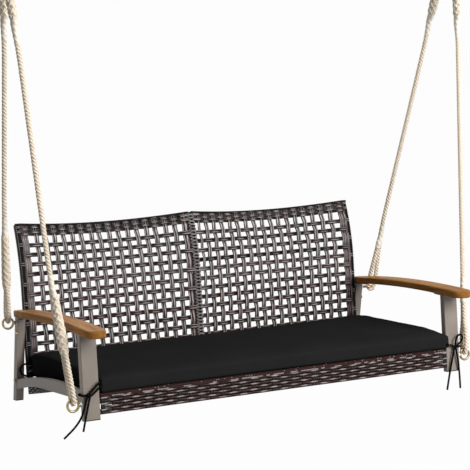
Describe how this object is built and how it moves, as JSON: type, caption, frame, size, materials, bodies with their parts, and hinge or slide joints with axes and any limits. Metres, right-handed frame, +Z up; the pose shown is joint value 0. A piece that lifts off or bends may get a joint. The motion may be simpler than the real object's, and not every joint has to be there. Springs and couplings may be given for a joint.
{
  "type": "hanging porch swing seat",
  "caption": "Hanging porch swing seat with a woven back, wood armrests, a long cushion and splayed ropes on pivoting ceiling links.",
  "frame": {"origin": "middle of the four ceiling screw holes, on the ceiling face of the two plates", "axes": "+X along the bench to the sitter's left, as seen from in front to the right, +Y from the front of the seat to its back, +Z up"},
  "size_m": [1.603, 0.7378, 1.557],
  "materials": {
    "hanger_steel": "satin taupe powder coat",
    "bright_zinc": "bright zinc plating",
    "yellow_zinc": "yellow passivated zinc plating",
    "rope": "laid three-strand rope, cream",
    "frame_paint": "satin taupe powder coat",
    "light_tube": "mill finish, hidden under the woven wrap",
    "foot_plastic": "matte black end caps",
    "wood": "oiled hardwood",
    "dark_fastener": "blackened screws",
    "wicker": "dark brown resin wicker strand",
    "cushion_cloth": "black woven outdoor cloth",
    "tie_cord": "black round cord"
  },
  "bodies": {
    "ceiling": {"left_ceiling_plate": "hanger_steel", "right_ceiling_plate": "hanger_steel", "left_pivot_pin": "bright_zinc", "right_pivot_pin": "bright_zinc"},
    "swing": {"left_hanger_link": "hanger_steel", "right_hanger_link": "hanger_steel", "eye_bolt_washers": "bright_zinc", "eye_bolt_nuts": "bright_zinc", "front_left_eye_bolt": "yellow_zinc", "front_right_eye_bolt": "yellow_zinc", "rear_left_eye_bolt": "yellow_zinc", "rear_right_eye_bolt": "yellow_zinc", "frame_bolts": "yellow_zinc", "front_left_rope": "rope", "front_right_rope": "rope", "rear_left_rope": "rope", "rear_right_rope": "rope", "front_left_leg": "frame_paint", "front_right_leg": "frame_paint", "rear_left_leg": "frame_paint", "rear_right_leg": "frame_paint", "left_side_rail": "frame_paint", "right_side_rail": "frame_paint", "left_arm_plates": "frame_paint", "right_arm_plates": "frame_paint", "seat_front_rail": "frame_paint", "seat_rear_rail": "frame_paint", "left_seat_tube": "frame_paint", "right_seat_tube": "frame_paint", "seat_cross_bearers": "frame_paint", "apron_lower_rod": "frame_paint", "left_back_post": "light_tube", "right_back_post": "light_tube", "centre_back_post": "light_tube", "back_top_rail": "light_tube", "back_bottom_rail": "light_tube", "leg_end_caps": "foot_plastic", "left_armrest": "wood", "right_armrest": "wood", "armrest_screws": "dark_fastener", "seat_weave": "wicker", "front_apron_weave": "wicker", "left_back_border": "wicker", "right_back_border": "wicker", "centre_back_border": "wicker", "left_back_weave": "wicker", "right_back_weave": "wicker", "left_side_skirt": "wicker", "right_side_skirt": "wicker", "seat_cushion": "cushion_cloth", "front_left_tie": "tie_cord", "front_right_tie": "tie_cord", "rear_left_tie": "tie_cord", "rear_right_tie": "tie_cord", "front_left_tie_tail_long": "tie_cord", "front_left_tie_tail_short": "tie_cord", "front_right_tie_tail_inner": "tie_cord", "front_right_tie_tail_outer": "tie_cord", "front_right_tie_bow": "tie_cord", "front_left_tie_second_lead": "tie_cord"}
  },
  "joints": [
    {"name": "swing", "type": "hinge", "parent": "ceiling", "child": "swing", "pos_m": [0, 0, -0.034], "axis": [1, 0, 0], "range_deg": [-25, 25]}
  ]
}
